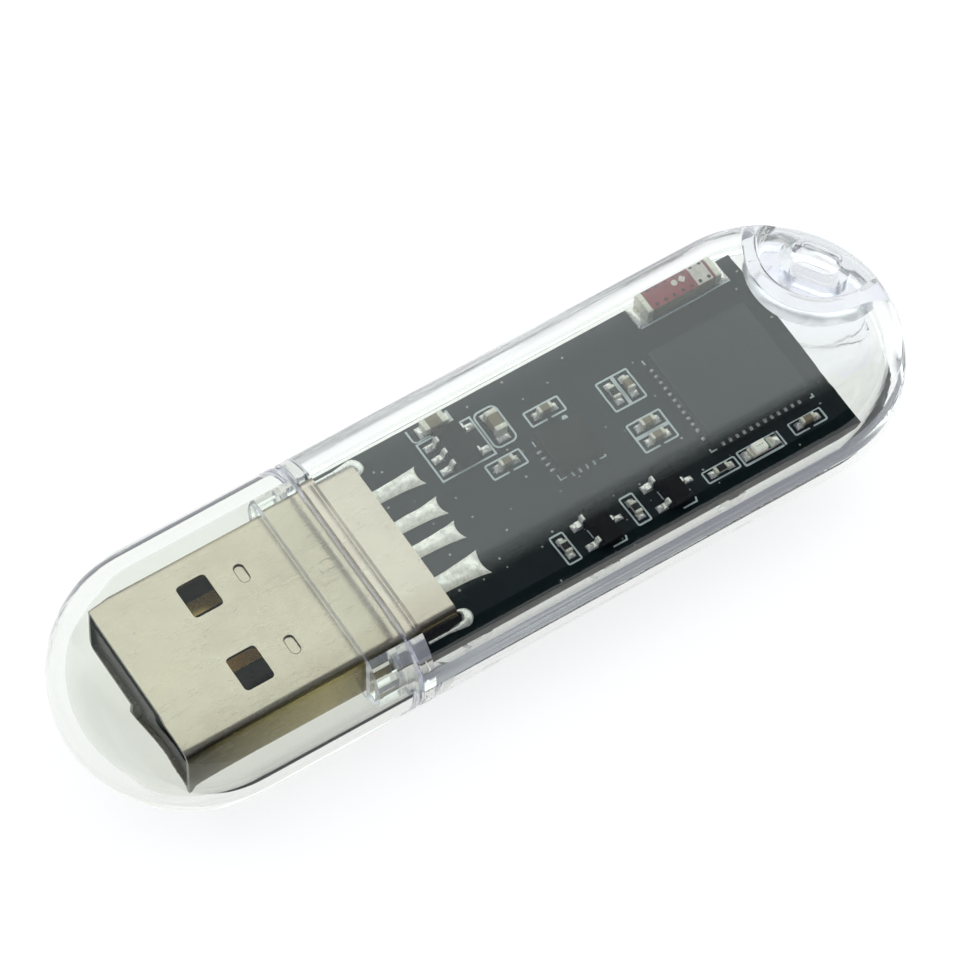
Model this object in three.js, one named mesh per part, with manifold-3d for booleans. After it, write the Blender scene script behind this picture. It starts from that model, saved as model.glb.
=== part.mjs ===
// USB microcontroller dongle in a clear two-shell case with a pull-off cap.
// Millimetres. +X runs from the USB plug to the lanyard end, +Y to the antenna side,
// +Z from the floor to the component side. The origin is under the middle of the case.
import * as THREE from 'three';
import { mergeVertices } from 'three/addons/utils/BufferGeometryUtils.js';
import Module from 'manifold-3d';

const wasm = await Module();
wasm.setup();

// ---------- driving dimensions ----------

// Case: a stadium in plan, its edge a quarter ellipse above and below a narrow land.
const caseLength = 58.3;
const caseWidth = 17.4;
const caseHeight = 8.4;
const edgeReach = 3.0;
const edgeLand = 0.4;
const wall = 1.1;
const arcSegments = 14;
const edgeSegments = 6;
const midZ = caseHeight / 2;
const partingGap = 0.06;
const seamX = -9.8;
const seamGap = 0.1;
const neckLength = 2.4;
const neckPlay = 0.15;
const frontWall = 1.3;
const plugPlay = 0.1;

// Lanyard corner: a round pocket above and below, open at the rim of the case, and a slot
// through a boss that joins the two pocket floors.
const pocketX = 26.45;
const pocketY = 3.0;
const pocketRadius = 3.85;
const pocketDepth = 2.0;
const pocketWall = 0.9;
const pocketFloor = 1.0;
const slotX = 26.4;
const slotY = 3.3;
const slotAngle = -58;
const slotLength = 3.2;
const slotWidth = 1.6;
const bossWall = 0.7;

// USB type A plug: folded sheet round a plastic tongue with four contacts.
const plugFrontX = -24.2;
const plugLength = 18.5;
const plugWidth = 12.0;
const plugHeight = 4.5;
const plugZ = 4.0;
const plugCorner = 0.64;
const sheet = 0.3;
const windowLength = 2.0;
const windowWidth = 2.45;
const windowFromFront = 6.1;
const windowOffset = 2.87;
const dimpleFromFront = 9.0;
const dimpleLength = 1.4;
const dimpleWidth = 0.7;
const dimpleDepth = 0.12;
const seamSlit = 0.08;
const contactPitches = [3.5, 1.0, -1.0, -3.5];
const contactWidth = 1.0;
const contactThickness = 0.25;
const tailWidth = 0.7;

// Circuit board.
const boardFrontX = -8.3;
const boardLength = 30.6;
const boardWidth = 14.0;
const boardY = -0.2;
const boardThickness = 1.0;
const boardTop = 5.15;
const boardMidX = boardFrontX + boardLength / 2;
const legSlotX = -6.5;
const legSlotLength = 3.1;
const legSlotWidth = 1.0;
const legSlotY = 6.0;
const legLength = 1.8;

// Gap left between neighbours that touch on the real object.
const touch = 0.03;

// ---------- colours and finishes ----------

const finish = (color, roughness, metalness = 0, opacity = 1) =>
  new THREE.MeshStandardMaterial({ color, roughness, metalness, opacity, transparent: opacity < 1 });
const clearPlastic = finish(0xe6ece6, 0.08, 0, 0.3);
const plugMetal = finish(0xd8d3c1, 0.22, 1);
const blackPlastic = finish(0x16181a, 0.5);
const gold = finish(0xc9a04a, 0.3, 1);
const boardBlack = finish(0x07100f, 0.35);
const solder = finish(0xd9d9cf, 0.3, 1);
const chipBlack = finish(0x1b1d1e, 0.6);
const ceramicTan = finish(0x96876e, 0.55);
const resistorBlack = finish(0x202225, 0.4);
const antennaRed = finish(0x8a4652, 0.5);
const ledCream = finish(0xd9d6bd, 0.35);

// ---------- helpers ----------

const group = new THREE.Group();

function toSolid(geometry) {
  const bare = geometry.clone();
  bare.deleteAttribute('normal');
  bare.deleteAttribute('uv');
  const merged = mergeVertices(bare, 1e-5);
  return new wasm.Manifold(new wasm.Mesh({
    numProp: 3,
    vertProperties: new Float32Array(merged.attributes.position.array),
    triVerts: new Uint32Array(merged.index.array),
  }));
}

function toGeometry(solid) {
  const mesh = solid.getMesh();
  const geometry = new THREE.BufferGeometry();
  geometry.setAttribute('position', new THREE.BufferAttribute(new Float32Array(mesh.vertProperties), 3));
  geometry.setIndex(new THREE.BufferAttribute(new Uint32Array(mesh.triVerts), 1));
  geometry.computeVertexNormals();
  return geometry;
}

function part(name, shape, material) {
  const geometry = shape.isBufferGeometry ? shape : toGeometry(shape);
  const mesh = new THREE.Mesh(geometry, material.clone());
  mesh.name = name;
  group.add(mesh);
  return mesh;
}

const join = (...solids) => solids.reduce((a, b) => a.add(b));
const cut = (solid, ...tools) => tools.reduce((a, b) => a.subtract(b), solid);

// A box given by its lowest and highest corners.
function block(x0, x1, y0, y1, z0, z1) {
  const box = new THREE.BoxGeometry(x1 - x0, y1 - y0, z1 - z0);
  box.translate((x0 + x1) / 2, (y0 + y1) / 2, (z0 + z1) / 2);
  return toSolid(box);
}

// A prism of an outline in the XY plane.
function prism(shape, z0, z1, curveSegments = arcSegments) {
  const geometry = new THREE.ExtrudeGeometry(shape, { depth: z1 - z0, bevelEnabled: false, curveSegments });
  geometry.translate(0, 0, z0);
  return toSolid(geometry);
}

function stadium(x0, x1, y, radius) {
  const shape = new THREE.Shape();
  shape.absarc(x1, y, radius, -Math.PI / 2, Math.PI / 2);
  shape.absarc(x0, y, radius, Math.PI / 2, 1.5 * Math.PI);
  return shape;
}

function roundedRectangle(width, height, radius) {
  const w = width / 2 - radius;
  const h = height / 2 - radius;
  const shape = new THREE.Shape();
  shape.absarc(w, -h, radius, -Math.PI / 2, 0);
  shape.absarc(w, h, radius, 0, Math.PI / 2);
  shape.absarc(-w, h, radius, Math.PI / 2, Math.PI);
  shape.absarc(-w, -h, radius, Math.PI, 1.5 * Math.PI);
  return shape;
}

function circle(x, y, radius) {
  return new THREE.Shape().absarc(x, y, radius, 0, 2 * Math.PI);
}

// The case form drawn in by an inset on every side.
function caseForm(inset) {
  const reach = edgeReach - inset / 2;
  const radius = caseWidth / 2 - inset - reach;
  const centre = caseLength / 2 - caseWidth / 2;
  const rise = (caseHeight - edgeLand) / 2 - inset;
  const geometry = new THREE.ExtrudeGeometry(stadium(-centre, centre, 0, radius), {
    depth: edgeLand,
    bevelThickness: rise,
    bevelSize: reach,
    bevelSegments: edgeSegments,
    curveSegments: arcSegments,
  });
  geometry.translate(0, 0, midZ - edgeLand / 2);
  return toSolid(geometry);
}

// ---------- case ----------

const far = caseLength;
const behind = (x) => block(x, far, -far, far, -far, far);
const ahead = (x) => block(-far, x, -far, far, -far, far);

function makeCap() {
  const hollow = caseForm(wall);
  return cut(caseForm(0), hollow, behind(seamX - seamGap / 2));
}

// A disc-shaped tool over the lanyard corner.
function cornerDisc(radius, z0, z1) {
  return prism(circle(pocketX, pocketY, radius), z0, z1, 2 * arcSegments);
}

function lanyardSlot(grow) {
  const straight = (slotLength - slotWidth) / 2;
  const solid = prism(stadium(-straight, straight, 0, slotWidth / 2 + grow), -1, caseHeight + 1, 8);
  return solid.rotate([0, 0, slotAngle]).translate([slotX, slotY, 0]);
}

// The room round the board: the hollow behind the front wall, less the pockets and the boss.
function boardRoom() {
  const reach = pocketDepth + pocketFloor;
  return cut(caseForm(wall), ahead(seamX + frontWall), lanyardSlot(bossWall),
    cornerDisc(pocketRadius + pocketWall, -1, reach),
    cornerDisc(pocketRadius + pocketWall, caseHeight - reach, caseHeight + 1));
}

// A half-round click bump on the neck, facing up or down.
function clickBump(side) {
  const half = circle(seamX - 1.1, 0, 0.55);
  const surface = midZ + side * (midZ - wall - neckPlay);
  const rise = side * 0.09;
  const [z0, z1] = side > 0 ? [surface - 0.3, surface + rise] : [surface + rise, surface + 0.3];
  return cut(prism(half, z0, z1, 16), ahead(seamX - 1.3));
}

function makeBody() {
  const outside = cut(caseForm(0), ahead(seamX + seamGap / 2));
  const neck = cut(caseForm(wall + neckPlay), ahead(seamX - neckLength), behind(seamX + frontWall / 2));
  const halfPlug = plugWidth / 2 + plugPlay;
  const plugRoom = block(-far, seamX + frontWall + 1, -halfPlug, halfPlug,
    plugZ - plugHeight / 2 - plugPlay, plugZ + plugHeight / 2 + plugPlay);
  const pockets = [-1, 1].map((side) => {
    const y = side * (halfPlug + 0.65);
    return block(-far, seamX - neckLength + 1.5, y - 0.25, y + 0.25, midZ - 1.5, midZ + 1.5);
  });
  const gussets = [-1, 1].map((side) => {
    const y = side * (caseWidth / 2 - wall);
    const shape = new THREE.Shape([
      new THREE.Vector2(seamX + frontWall / 2, y + side * 0.5),
      new THREE.Vector2(seamX + frontWall / 2, y - side * 0.9),
      new THREE.Vector2(seamX + frontWall + 0.1, y - side * 0.9),
      new THREE.Vector2(seamX + frontWall + 2.2, y + side * 0.5),
    ]);
    return prism(shape, wall + 0.6, boardTop - boardThickness - 0.4);
  });
  let body = cut(join(outside, neck), boardRoom());
  body = join(body, ...gussets.map((g) => g.intersect(caseForm(0.3))));
  body = cut(body, plugRoom, ...pockets, lanyardSlot(0));
  body = cut(body, cornerDisc(pocketRadius, caseHeight - pocketDepth, caseHeight + 1),
    cornerDisc(pocketRadius, -1, pocketDepth));
  return join(body, clickBump(1), clickBump(-1));
}

// Snap tabs hang from the upper shell into rebates in the lower shell's side walls.
const tabPlaces = [{ x: -0.8, length: 3.8 }, { x: 19.2, length: 4.4 }];
const tabDepth = 1.3;
const tabThickness = 0.5;
const tabPlay = 0.08;

function snapTabs(play, top) {
  const inner = caseWidth / 2 - wall + 0.04;
  return tabPlaces.flatMap(({ x, length }) => [-1, 1].map((side) => {
    const near = side * (inner - (play ? 0.5 : 0));
    const outer = side * (inner + tabThickness + play);
    return block(x - length / 2 - play, x + length / 2 + play, Math.min(near, outer), Math.max(near, outer),
      midZ - tabDepth - play, top);
  }));
}

// Ledges under the board's long edges carry it off the floor of the case.
function boardLedges() {
  return [-4.5, 4.5, 13.5].flatMap((x) => [-1, 1].map((side) => {
    const y = boardY + side * (boardWidth / 2 - 0.35);
    return block(x - 0.6, x + 0.6, y - 0.4, y + 0.4, wall - 0.3, boardTop - boardThickness - touch);
  }));
}

const body = makeBody();
part('cap', makeCap(), clearPlastic);
const upperHalf = cut(body, block(-far, far, -far, far, -far, midZ + partingGap / 2));
const lowerHalf = cut(body, block(-far, far, -far, far, midZ - partingGap / 2, far));
part('upper_shell', join(upperHalf, ...snapTabs(0, midZ + 0.3)), clearPlastic);
const rebated = cut(lowerHalf, ...snapTabs(tabPlay, midZ + 0.3));
part('lower_shell', join(rebated, ...boardLedges().map((l) => l.intersect(caseForm(0.3)))), clearPlastic);

// ---------- USB plug ----------

// Lies a prism of a YZ outline along X from x0 to x1.
function alongX(shape, x0, x1) {
  const geometry = new THREE.ExtrudeGeometry(shape, { depth: x1 - x0, bevelEnabled: false, curveSegments: 5 });
  geometry.rotateX(Math.PI / 2);
  geometry.rotateZ(Math.PI / 2);
  geometry.translate(x0, 0, 0);
  return toSolid(geometry);
}

const plugRearX = plugFrontX + plugLength;
const blockRearX = boardFrontX - 0.3;

function makePlugShell() {
  const skin = alongX(roundedRectangle(plugWidth, plugHeight, plugCorner), plugFrontX, plugRearX);
  const bore = alongX(roundedRectangle(plugWidth - 2 * sheet, plugHeight - 2 * sheet, plugCorner - sheet),
    plugFrontX - 1, plugRearX + 1);
  let shell = cut(skin, bore).translate([0, 0, plugZ]);
  const overBoard = block(boardFrontX - 0.2, far, -far, far, -far, boardTop + touch);
  const slit = block(-far, far, -seamSlit / 2, seamSlit / 2, -far, plugZ);
  const holes = [];
  for (const side of [-1, 1]) {
    const x = plugFrontX + windowFromFront;
    const y = side * windowOffset;
    holes.push(block(x - windowLength / 2, x + windowLength / 2, y - windowWidth / 2, y + windowWidth / 2,
      -1, caseHeight));
    for (const face of [-1, 1]) {
      const straight = (dimpleLength - dimpleWidth) / 2;
      const oval = prism(stadium(-straight, straight, 0, dimpleWidth / 2), -dimpleDepth, dimpleDepth, 6);
      holes.push(oval.rotate([0, 0, 90])
        .translate([plugFrontX + dimpleFromFront, y, plugZ + face * plugHeight / 2]));
    }
  }
  shell = cut(shell, overBoard, slit, ...holes);
  const legs = [-1, 1].map((side) => {
    const y = side * (plugWidth / 2 - sheet / 2);
    return block(legSlotX - legLength / 2, legSlotX + legLength / 2, y - sheet / 2, y + sheet / 2,
      boardTop - boardThickness - 0.5, boardTop + 0.4);
  });
  return join(shell, ...legs);
}

// Z-shaped strip: along the tongue, up inside the rear block and out over the board.
function contactOutline(play) {
  const low = plugZ - contactThickness - play;
  const high = plugZ + play;
  const tailLow = boardTop + touch - play;
  const tailHigh = tailLow + contactThickness * 0.8 + 2 * play;
  const riserX = blockRearX - 1.2;
  return new THREE.Shape([
    [plugFrontX + 1.0 - play, low],
    [riserX + contactThickness + play, low],
    [riserX + contactThickness + play, tailLow],
    [plugRearX + 3.2, tailLow],
    [plugRearX + 3.2, tailHigh],
    [riserX - play, tailHigh],
    [riserX - play, high],
    [plugFrontX + 1.0 - play, high],
  ].map(([x, z]) => new THREE.Vector2(x, z)));
}

function strip(y, width, play) {
  const depth = width + 2 * play;
  const geometry = new THREE.ExtrudeGeometry(contactOutline(play), { depth, bevelEnabled: false });
  geometry.rotateX(Math.PI / 2);
  geometry.translate(0, y + depth / 2, 0);
  return toSolid(geometry);
}

function makeContact(y) {
  const full = strip(y, contactWidth, 0);
  const trim = (contactWidth - tailWidth) / 2;
  const edge = contactWidth / 2;
  const tailStart = blockRearX - 0.6;
  return cut(full,
    block(tailStart, far, y + edge - trim, y + edge + 1, 0, far),
    block(tailStart, far, y - edge - 1, y - edge + trim, 0, far));
}

// The tongue fills the lower half of the mouth, the rear block the whole of the bore.
function makeInsulator() {
  const play = 0.05;
  const bore = alongX(roundedRectangle(plugWidth - 2 * (sheet + play), plugHeight - 2 * (sheet + play),
    plugCorner - sheet), plugFrontX + 0.3, blockRearX).translate([0, 0, plugZ]);
  const mouth = block(-far, plugFrontX + 9.0, -far, far, plugZ, far);
  return cut(bore, mouth, ...contactPitches.map((pitch) => strip(pitch, contactWidth, touch)));
}

part('plug_shell', makePlugShell(), plugMetal);
part('plug_insulator', makeInsulator(), blackPlastic);
['contact_vbus', 'contact_data_minus', 'contact_data_plus', 'contact_ground'].forEach((name, i) => {
  part(name, makeContact(contactPitches[i]), gold);
});

// ---------- circuit board and solder ----------

const legSlots = [-1, 1].map((side) => {
  const straight = (legSlotLength - legSlotWidth) / 2;
  return stadium(legSlotX - straight, legSlotX + straight, side * legSlotY, legSlotWidth / 2);
});

function makeBoard() {
  const slab = block(boardFrontX, boardFrontX + boardLength, boardY - boardWidth / 2, boardY + boardWidth / 2,
    boardTop - boardThickness, boardTop);
  return cut(slab, ...legSlots.map((shape) => prism(shape, 0, far, 8)));
}

// A solder bed flares away from the plug and lies round the contact's tail.
function makeTailSolder(y) {
  const x0 = plugRearX + 0.1;
  const x1 = x0 + 3.5;
  const flare = new THREE.Shape([
    new THREE.Vector2(x0, y - 0.4),
    new THREE.Vector2(x1, y - 0.72),
    new THREE.Vector2(x1, y + 0.72),
    new THREE.Vector2(x0, y + 0.4),
  ]);
  const bed = prism(flare, boardTop + 0.01, boardTop + 0.34);
  return cut(bed, strip(y, tailWidth, 0.01));
}

// Solder rim round a leg slot, thicker where it fills the slot behind the leg.
function makeLegSolder(side) {
  const straight = (legSlotLength - legSlotWidth) / 2;
  const y = side * legSlotY;
  const x0 = legSlotX - straight;
  const x1 = legSlotX + straight;
  const rim = prism(stadium(x0, x1, y, legSlotWidth / 2 + 0.2), boardTop + 0.01, boardTop + 0.09, 8);
  const hole = prism(stadium(x0, x1 - 0.4, y, legSlotWidth / 2 - touch), 0, far, 8);
  const halfPlug = plugWidth / 2 + touch;
  const underPlug = block(-far, plugRearX + touch, -halfPlug, halfPlug, 0, far);
  return cut(rim, hole, underPlug);
}

part('circuit_board', makeBoard(), boardBlack);
contactPitches.forEach((y, i) => part(`tail_solder_${i + 1}`, makeTailSolder(y), solder));
part('leg_solder_left', makeLegSolder(-1), solder);
part('leg_solder_right', makeLegSolder(1), solder);

// ---------- components ----------

const seat = boardTop + touch;

// A flat-bodied chip whose terminal row stands out a little at the foot on four sides.
function leadlessChip(x, y, size, height) {
  const h = size / 2;
  return join(
    block(x - h, x + h, y - h, y + h, seat + 0.02, seat + height),
    block(x - h + 0.3, x + h - 0.3, y - h + 0.3, y + h - 0.3, seat, seat + 0.1),
  );
}

// A moulded body on bent leads: pitches hold each lead's place along the body.
function leadedChip(x, y, bodyLength, bodyWidth, height, span, leads) {
  const body = block(x - bodyWidth / 2, x + bodyWidth / 2, y - bodyLength / 2, y + bodyLength / 2,
    seat + 0.1, seat + height);
  const feet = leads.map(({ side, at }) => {
    const shape = new THREE.Shape([
      [0, 0], [span / 2, 0], [span / 2, 0.15], [span / 2 - 0.35, 0.15], [span / 2 - 0.5, 0.55], [0, 0.55],
    ].map(([u, v]) => new THREE.Vector2(side > 0 ? u : -u, v)));
    const outline = side > 0 ? shape : new THREE.Shape(shape.getPoints().reverse());
    const geometry = new THREE.ExtrudeGeometry(outline, { depth: 0.4, bevelEnabled: false });
    geometry.rotateX(Math.PI / 2);
    geometry.translate(x, y + at + 0.2, seat);
    const foot = toSolid(geometry);
    const under = bodyWidth / 2 - 0.2;
    return cut(foot, block(x - under, x + under, -far, far, 0, seat + 0.12));
  });
  return join(body, ...feet);
}

// A two-terminal chip: ceramic body with caps of solderable metal on its ends.
function terminalChip(x, y, length, width, height, turned) {
  const [lx, ly] = turned ? [width, length] : [length, width];
  const thin = 0.02;
  const body = block(x - lx / 2 + thin, x + lx / 2 - thin, y - ly / 2 + thin, y + ly / 2 - thin,
    seat + thin, seat + height - thin);
  const band = length * 0.22;
  const ends = [-1, 1].map((side) => {
    const middle = side * (length / 2 - band / 2);
    const [cx, cy] = turned ? [x, y + middle] : [x + middle, y];
    const [hx, hy] = turned ? [width / 2, band / 2] : [band / 2, width / 2];
    return block(cx - hx, cx + hx, cy - hy, cy + hy, seat, seat + height);
  });
  return join(body, ...ends);
}

const sot23 = [{ side: -1, at: 0.9 }, { side: -1, at: -0.9 }, { side: 1, at: 0 }];
const sot25 = [0.95, 0, -0.95].map((at) => ({ side: -1, at }))
  .concat([0.95, -0.95].map((at) => ({ side: 1, at })));

part('voltage_regulator', leadedChip(0.72, 3.82, 2.9, 1.6, 1.1, 2.9, sot25), chipBlack);
part('reset_transistor', leadedChip(5.0, -5.2, 2.9, 1.3, 1.0, 2.5, sot23), chipBlack);
part('boot_transistor', leadedChip(10.0, -5.2, 2.9, 1.3, 1.0, 2.5, sot23), chipBlack);
part('usb_serial_chip', leadlessChip(6.39, 0.22, 3.0, 0.8), chipBlack);
part('microcontroller', leadlessChip(17.24, -0.58, 7.0, 0.88), chipBlack);

// Two-terminal chips: place, size in millimetres and which way they lie.
const small = [1.0, 0.5, 0.5];
const smallThin = [1.0, 0.5, 0.35];
const medium = [1.6, 0.8, 0.8];
const chips = [
  ['input_capacitor', 0.4, 6.1, ...medium, false, ceramicTan],
  ['output_capacitor', 3.5, 3.95, ...medium, true, ceramicTan],
  ['usb_supply_capacitor', 2.64, 1.32, ...small, false, ceramicTan],
  ['usb_bypass_capacitor', 6.6, 3.25, ...small, false, ceramicTan],
  ['enable_resistor', 10.79, 2.02, ...smallThin, true, resistorBlack],
  ['enable_capacitor', 11.84, 2.02, ...small, true, ceramicTan],
  ['decoupling_capacitor_1', 11.32, -0.86, ...small, false, ceramicTan],
  ['decoupling_capacitor_2', 11.32, -1.98, ...small, false, ceramicTan],
  ['reset_base_resistor', 2.45, -5.3, ...smallThin, true, resistorBlack],
  ['boot_base_resistor', 7.45, -5.25, ...smallThin, true, resistorBlack],
  ['led_resistor', 13.3, -5.77, ...smallThin, false, resistorBlack],
  ['supply_capacitor', 19.6, -5.68, ...small, false, ceramicTan],
  ['status_led', 16.15, -5.78, 1.6, 0.8, 0.6, false, ledCream],
  ['chip_antenna', 18.0, 6.0, 5.4, 1.6, 1.2, false, antennaRed],
];
for (const [name, x, y, length, width, height, turned, material] of chips) {
  part(name, terminalChip(x, y, length, width, height, turned), material);
}

export default group;
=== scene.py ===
import math

import bmesh
import bpy
from mathutils import Matrix, Vector, noise


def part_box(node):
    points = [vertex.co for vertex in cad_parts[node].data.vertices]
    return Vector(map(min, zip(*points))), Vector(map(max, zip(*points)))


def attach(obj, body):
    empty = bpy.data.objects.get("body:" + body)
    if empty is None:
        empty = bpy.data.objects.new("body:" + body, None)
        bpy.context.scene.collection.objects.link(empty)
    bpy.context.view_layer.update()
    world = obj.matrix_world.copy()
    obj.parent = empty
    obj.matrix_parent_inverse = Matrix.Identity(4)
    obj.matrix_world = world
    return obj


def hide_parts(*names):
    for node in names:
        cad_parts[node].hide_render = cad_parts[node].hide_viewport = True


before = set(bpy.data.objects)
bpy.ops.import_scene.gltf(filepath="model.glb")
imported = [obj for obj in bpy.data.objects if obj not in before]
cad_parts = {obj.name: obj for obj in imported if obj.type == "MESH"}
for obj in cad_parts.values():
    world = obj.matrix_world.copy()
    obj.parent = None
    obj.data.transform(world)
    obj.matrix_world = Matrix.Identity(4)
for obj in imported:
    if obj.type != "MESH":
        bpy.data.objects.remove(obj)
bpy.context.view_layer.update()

# Everything below is drawn in millimetres in the CAD frame and scaled to metres
# when a piece is made. +X runs from the plug to the lanyard end, +Z is the
# component side.
MM = 0.001


def span(node):
    """Lowest and highest corner of a CAD node, in millimetres."""
    lo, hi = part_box(node)
    return lo / MM, hi / MM


def centre(node):
    lo, hi = span(node)
    return (lo + hi) / 2


# ---------- sizes ----------

cap_hi = span("cap")[1]
plug_lo, plug_hi = span("plug_shell")
board_lo, board_hi = span("circuit_board")

CASE_HALF_LENGTH = 29.15
CASE_HALF_WIDTH = cap_hi.y
CASE_HEIGHT = cap_hi.z
CASE_END = CASE_HALF_LENGTH - CASE_HALF_WIDTH
MID_Z = CASE_HEIGHT / 2
EDGE_REACH = 3.0
EDGE_LAND = 0.4
WALL = 1.1
SEAM_GAP = 0.1
SEAM_X = cap_hi.x + SEAM_GAP / 2
NECK_LENGTH = 2.4
NECK_PLAY = 0.15
FRONT_WALL = 1.3
PARTING_GAP = 0.06
CROWN_START = 4.3
CROWN_RUN = 1.4
CROWN_SLOPE = 0.28
CROWN_FADE = 2.2
FINE_ARC = 64
FINE_EDGE = 14

POCKET = Vector((26.45, 3.0))
POCKET_RADIUS = 3.85
POCKET_DEPTH = 2.0
POCKET_WALL = 0.9
POCKET_FLOOR = 1.0
SLOT = Vector((26.4, 3.3))
SLOT_TURN = math.radians(-58)
SLOT_LENGTH = 3.2
SLOT_WIDTH = 1.6
BOSS_WALL = 0.7

PLUG_FRONT = plug_lo.x
PLUG_REAR = plug_hi.x
PLUG_WIDTH = 12.0
PLUG_HEIGHT = 4.5
PLUG_Z = plug_hi.z - PLUG_HEIGHT / 2
WINDOW_X = PLUG_FRONT + 6.1
DIMPLE_X = PLUG_FRONT + 9.0
HOLE_Y = 2.87
PLUG_CORNER = 0.64
SHEET = 0.3

LEG_SLOT_X = -6.5
LEG_SLOT_STRAIGHT = 1.05
LEG_SLOT_Y = 6.0

BOARD_TOP = board_hi.z
ON_BOARD = BOARD_TOP + 0.002
FAR = 100.0


# ---------- node helpers ----------

def feed(node, **values):
    """Sets a node's inputs to plain values, or links other nodes' outputs to them."""
    for key, value in values.items():
        socket = node.inputs[key.replace("_", " ")]
        if isinstance(value, bpy.types.NodeSocket):
            node.id_data.links.new(value, socket)
        elif socket.type == "RGBA":
            socket.default_value = (*value, 1)
        else:
            socket.default_value = value


def add_node(tree, kind, settings=None, **inputs):
    node = tree.nodes.new(kind)
    for key, value in (settings or {}).items():
        setattr(node, key, value)
    feed(node, **inputs)
    return node


def new_material(name, **inputs):
    material = bpy.data.materials.new(name)
    material.use_nodes = True
    shader = material.node_tree.nodes["Principled BSDF"]
    feed(shader, **inputs)
    return material, material.node_tree, shader


def work(tree, operation, first, second=None):
    """A math node on two values, each a number or another node's output."""
    node = add_node(tree, "ShaderNodeMath", {"operation": operation})
    for socket, value in zip(node.inputs, (first, second)):
        if isinstance(value, (int, float)):
            socket.default_value = value
        elif value is not None:
            tree.links.new(value, socket)
    return node.outputs[0]


def axes(tree, vector):
    """The X, Y and Z of a vector."""
    return add_node(tree, "ShaderNodeSeparateXYZ", Vector=vector).outputs


def facing(tree):
    """The X, Y and Z of the direction a face looks in."""
    return axes(tree, add_node(tree, "ShaderNodeNewGeometry").outputs["Normal"])


def object_point(tree):
    """Place on the object, in millimetres."""
    coords = add_node(tree, "ShaderNodeTexCoord")
    scale = add_node(tree, "ShaderNodeVectorMath", {"operation": "SCALE"}, Scale=1 / MM)
    tree.links.new(coords.outputs["Object"], scale.inputs[0])
    return scale.outputs[0]


def noise_texture(tree, scale, detail=3.0, rough=0.5, stretch=None):
    point = object_point(tree)
    if stretch:
        point = add_node(tree, "ShaderNodeMapping", Vector=point, Scale=stretch).outputs[0]
    texture = add_node(tree, "ShaderNodeTexNoise", Vector=point, Scale=scale, Detail=detail, Roughness=rough)
    return texture.outputs["Fac"]


def ramp(tree, factor, stops):
    node = add_node(tree, "ShaderNodeValToRGB", Fac=factor)
    elements = node.color_ramp.elements
    while len(elements) < len(stops):
        elements.new(0.5)
    for element, (place, colour) in zip(elements, stops):
        element.position = place
        element.color = (*colour, 1.0)
    return node.outputs["Color"]


def spread(tree, factor, low, high, start=0.3, end=0.7):
    """Maps start to low and end to high, and holds those values beyond."""
    limits = {"From_Min": start, "From_Max": end, "To_Min": low, "To_Max": high}
    return add_node(tree, "ShaderNodeMapRange", Value=factor, **limits).outputs["Result"]


def blend(tree, factor, first, second, how="MIX"):
    """Mixes two colours, each plain or another node's output."""
    settings = {"data_type": "RGBA", "blend_type": how}
    return add_node(tree, "ShaderNodeMix", settings, Factor=factor, A=first, B=second).outputs["Result"]


def mix_surface(tree, factor, first, second):
    """Shows the first shader where factor is 0 and the second where it is 1."""
    mix = add_node(tree, "ShaderNodeMixShader", Fac=factor)
    tree.links.new(first.outputs[0], mix.inputs[1])
    tree.links.new(second.outputs[0], mix.inputs[2])
    feed(tree.nodes["Material Output"], Surface=mix.outputs[0])


def bump(tree, shader, height, strength, depth_mm):
    node = add_node(tree, "ShaderNodeBump", Strength=strength, Distance=depth_mm * MM, Height=height)
    feed(shader, Normal=node.outputs["Normal"])


def side_facing(tree, upright_at=0.4, level_at=0.6):
    """1 on upright faces, 0 on faces that look up or down."""
    return spread(tree, work(tree, "ABSOLUTE", facing(tree)["Z"]), 1.0, 0.0, upright_at, level_at)


# ---------- materials ----------

def mottled(name, dark, light, rough=(0.4, 0.6), grain=2.0, metallic=0.0, depth=0.0, specular=0.5, glow=None):
    """A finish whose colour wanders between two tones and whose gloss wanders too, with a painted glow where
    one is given.
    """
    material, tree, shader = new_material(name, Metallic=metallic, Specular_IOR_Level=specular)
    field = noise_texture(tree, grain, 4.0, 0.6)
    fine = noise_texture(tree, grain * 5, 3.0, 0.6)
    colour = ramp(tree, field, [(0.3, dark), (0.7, light)])
    feed(shader, Base_Color=colour, Roughness=spread(tree, fine, *rough))
    if depth:
        bump(tree, shader, fine, 0.6, depth)
    # glow is a painted glow: emission on a part that is no lamp.
    if glow:
        feed(shader, Emission_Color=glow[0], Emission_Strength=glow[1])
    return material


def crown(tree):
    """Height in millimetres of the gentle crown across the case walls, the same on both their faces."""
    spot = axes(tree, object_point(tree))
    outward = work(tree, "MULTIPLY", facing(tree)["Z"], work(tree, "SUBTRACT", spot["Z"], MID_Z))
    across = work(tree, "ABSOLUTE", spot["Y"])

    def reach(start, most):
        beyond = work(tree, "MAXIMUM", work(tree, "SUBTRACT", across, start), 0.0)
        return work(tree, "MINIMUM", beyond, most)

    def curve(distance, length):
        return work(tree, "MULTIPLY", work(tree, "POWER", distance, 2.0), CROWN_SLOPE / length / 2)

    near = reach(CROWN_START, CROWN_RUN)
    far = reach(CROWN_START + CROWN_RUN, CROWN_FADE)
    drop = work(tree, "ADD", curve(near, CROWN_RUN), work(tree, "MULTIPLY", far, CROWN_SLOPE))
    drop = work(tree, "SUBTRACT", drop, curve(far, CROWN_FADE))
    return work(tree, "MULTIPLY", drop, work(tree, "MULTIPLY", work(tree, "SIGN", outward), -1.0))


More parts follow.
